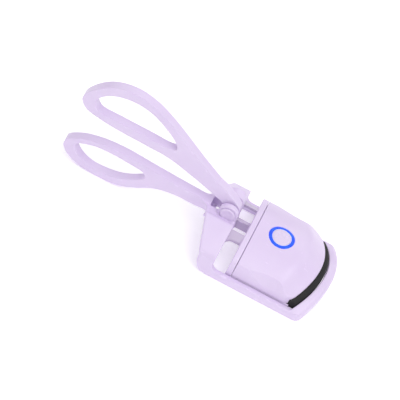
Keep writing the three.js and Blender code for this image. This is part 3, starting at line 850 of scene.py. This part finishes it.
def top_cover():
    """Its side walls are thick inside, so that the leaning panels keep a sound wall."""
    side_wall = WALL + 0.85
    shell = cut(loft(upper(0, 0), SLIDER_HALF, 96), loft(upper(WALL, 2), SLIDER_HALF - side_wall))
    return cut(
        shell, socket_opening(), pad_space(),
        up_z(circle(BUTTON_X, 0, RING_OUTER + 0.12, 128), 12, 20),
    )


place(moulded(top_cover(), 0.17, 5, reshape=lean_sides), "top_cover_moulding", "slider", "lilac_plastic",
      LILAC, "top_cover")


def bottom_cover():
    shell = cut(loft(lower(0, 0), SLIDER_HALF, 96), loft(lower(WALL, 2), SLIDER_HALF - WALL - 0.6))
    holes = []
    for n in range(1, 5):
        lo, hi = (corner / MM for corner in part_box(f"cover_screw_{n}"))
        x, y = (lo.x + hi.x) / 2, (lo.y + hi.y) / 2
        holes.append(up_z(circle(x, y, SCREW_HOLE_R, 32), 0, 9))
        holes.append(up_z(circle(x, y, 1.75, 48), -1, belly_z(y) + 0.9))
    return cut(shell, pad_space(), *holes, *grooves())


place(moulded(bottom_cover(), 0.2, 4), "bottom_cover_moulding", "slider", "lilac_plastic",
      LILAC, "bottom_cover")


def pad_section(y):
    front = lip_x(y) + PAD_PROUD
    back = lip_x(y) - PAD_SUNK
    return rounded([
        (back, pad_below(y)), (front, pad_below(y)), (front, pad_top(y) - 0.9),
        (front - 0.8, pad_top(y)), (back, pad_top(y)),
    ], [0.2, 0.6, 0.5, 0.5, 0.2], 4)


place(moulded(loft(pad_section, PAD_HALF, 96), 0.16, 5), "pad_moulding", "slider", "silicone", SILICONE,
      "silicone_pad")


# ---- Button and light ring ------------------------------------------------------------------------
def follow_top(obj, height):
    """Bends a flat disc, drawn with its top at z = 0, down onto the arched top of the slider."""
    for v in obj.data.vertices:
        x, y, z = (c / MM for c in v.co)
        v.co.z = (z + height + top_z(y) - TOP_Z) * MM
    return obj


def disc(profile, count=128):
    """Rings of points about the button's axis, one for each (radius, z) pair."""
    rings = []
    for r, z in profile:
        rings.append([
            (BUTTON_X + r * math.cos(2 * math.pi * i / count), r * math.sin(2 * math.pi * i / count), z)
            for i in range(count)
        ])
    return rings


def closed_ring(profile, name, count=128):
    """A ring about the button's axis; its profile closes on itself."""
    rings = disc(profile, count)
    n = count
    verts = [p for ring in rings for p in ring]
    faces = []
    for r in range(len(rings)):
        nxt = (r + 1) % len(rings)
        for i in range(n):
            j = (i + 1) % n
            faces.append([r * n + i, r * n + j, nxt * n + j, nxt * n + i])
    return new_object(name, verts, faces)


ring_in = BUTTON_R + GAP
ring = closed_ring([
    (ring_in, -2.0), (RING_OUTER, -2.0), (RING_OUTER, -0.12), (RING_OUTER - 0.12, -0.02),
    (RING_OUTER - 0.4, 0), (ring_in + 0.35, 0), (ring_in + 0.1, -0.03), (ring_in, -0.14),
], "ring")
place(follow_top(ring, TOP_Z), "ring_lens", "slider", "blue_light", BLUE, "light_ring")

sleeve_in = BUTTON_R + 0.03
sleeve = closed_ring([
    (sleeve_in, -1.2), (ring_in, -1.2), (ring_in, -0.04), (sleeve_in, -0.04),
], "sleeve")
place(follow_top(sleeve, TOP_Z), "ring_sleeve", "slider", "nylon", NYLON)

rows = [(AXIS_R, -1.4), (BUTTON_R, -1.4), (BUTTON_R, -0.22), (BUTTON_R - 0.08, -0.08), (BUTTON_R - 0.25, 0)]
rows += [(BUTTON_R - 0.45, -0.01), (BUTTON_R - 0.7, -0.05)]
dish = [(r, -0.05 - 0.06 * (1 - (r / BUTTON_R) ** 2)) for r in np.linspace(BUTTON_R - 1.0, 0.4, 8)]
rows += dish + [(AXIS_R, -0.11)]
button = stacked(disc(rows), "button")
place(follow_top(button, TOP_Z), "button_cap", "button", "lilac_plastic", LILAC_CAP, "power_button")

# ---- CAD nodes that stay as they are, with their materials ---------------------------------------
FINISHES = {
    "near_washer": NYLON, "far_washer": NYLON, "drive_pin": STEEL, "heater_film": FILM,
    "heat_spreader": ALUMINIUM, "temperature_sensor": BLACK, "battery": CELL, "circuit_board": BOARD,
    "tact_switch": BLACK, "rear_led": NYLON, "front_led": NYLON, "charge_board": BOARD,
    "charge_socket": STEEL, "charge_contact_tongue": BLACK,
}
FINISHES.update({f"cover_screw_{n}": STEEL for n in range(1, 5)})
FINISHES.update({f"cap_screw_{n}": STEEL for n in range(1, 3)})
for node, material in FINISHES.items():
    obj = frame["nodes"][node]
    obj.data.materials.clear()
    obj.data.materials.append(material)

# ---- Floor, light and colour ----------------------------------------------------------------------
FLOOR_HALF = 3000
FLOOR_DROP = 0.02  # keeps the floor clear of the faces that rest on it
floor = new_object("floor", [
    (-FLOOR_HALF, -FLOOR_HALF, 0), (FLOOR_HALF, -FLOOR_HALF, 0),
    (FLOOR_HALF, FLOOR_HALF, 0), (-FLOOR_HALF, FLOOR_HALF, 0),
], [[0, 1, 2, 3]])
floor.location.z = -FLOOR_DROP * MM
paper = Nodes("paper")
paper.link(paper.colours(paper.noise(30, 2), [(0.3, srgb(247, 247, 248)), (0.7, srgb(250, 250, 250))]),
           paper.shader.inputs["Base Color"])
paper.shader.inputs["Roughness"].default_value = 0.8
paper.bump(paper.noise(700, 2), 0.05, 0.0001)
paper.shader.inputs["Emission Color"].default_value = (1, 1, 1, 1)
paper.shader.inputs["Emission Strength"].default_value = 0.26
floor.data.materials.append(paper.material)


def area_light(name, place_at, aim, size, power, colour=(1, 1, 1)):
    data = bpy.data.lights.new(name, "AREA")
    data.shape = "DISK"
    data.size = size
    data.energy = power
    data.color = colour
    obj = bpy.data.objects.new(name, data)
    bpy.context.scene.collection.objects.link(obj)
    obj.location = place_at
    obj.rotation_euler = (Vector(aim) - Vector(place_at)).to_track_quat("-Z", "Y").to_euler()


area_light("key", (0.25, -0.22, 0.70), (0, 0, 0.01), 0.7, 2.05)
area_light("back", (-0.05, 0.6, 0.5), (0, 0, 0.01), 0.5, 0.4)
world = bpy.data.worlds.new("studio")
world.use_nodes = True
world.node_tree.nodes["Background"].inputs["Color"].default_value = (1, 1, 1, 1)
# The dome is brightest overhead and evens out to its lowest strength at the horizon.
HORIZON_STRENGTH = 0.42
ZENITH_STRENGTH = 0.88
sky = world.node_tree.nodes.new("ShaderNodeTexCoord")
height = world.node_tree.nodes.new("ShaderNodeSeparateXYZ")
dome = world.node_tree.nodes.new("ShaderNodeMapRange")
dome.inputs["To Min"].default_value = HORIZON_STRENGTH
dome.inputs["To Max"].default_value = ZENITH_STRENGTH
world.node_tree.links.new(sky.outputs["Generated"], height.inputs["Vector"])
world.node_tree.links.new(height.outputs["Z"], dome.inputs["Value"])
world.node_tree.links.new(dome.outputs["Result"], world.node_tree.nodes["Background"].inputs["Strength"])
bpy.context.scene.world = world
view = bpy.context.scene.view_settings
view.view_transform = "Standard"
view.look = "None"
view.exposure = 0.0
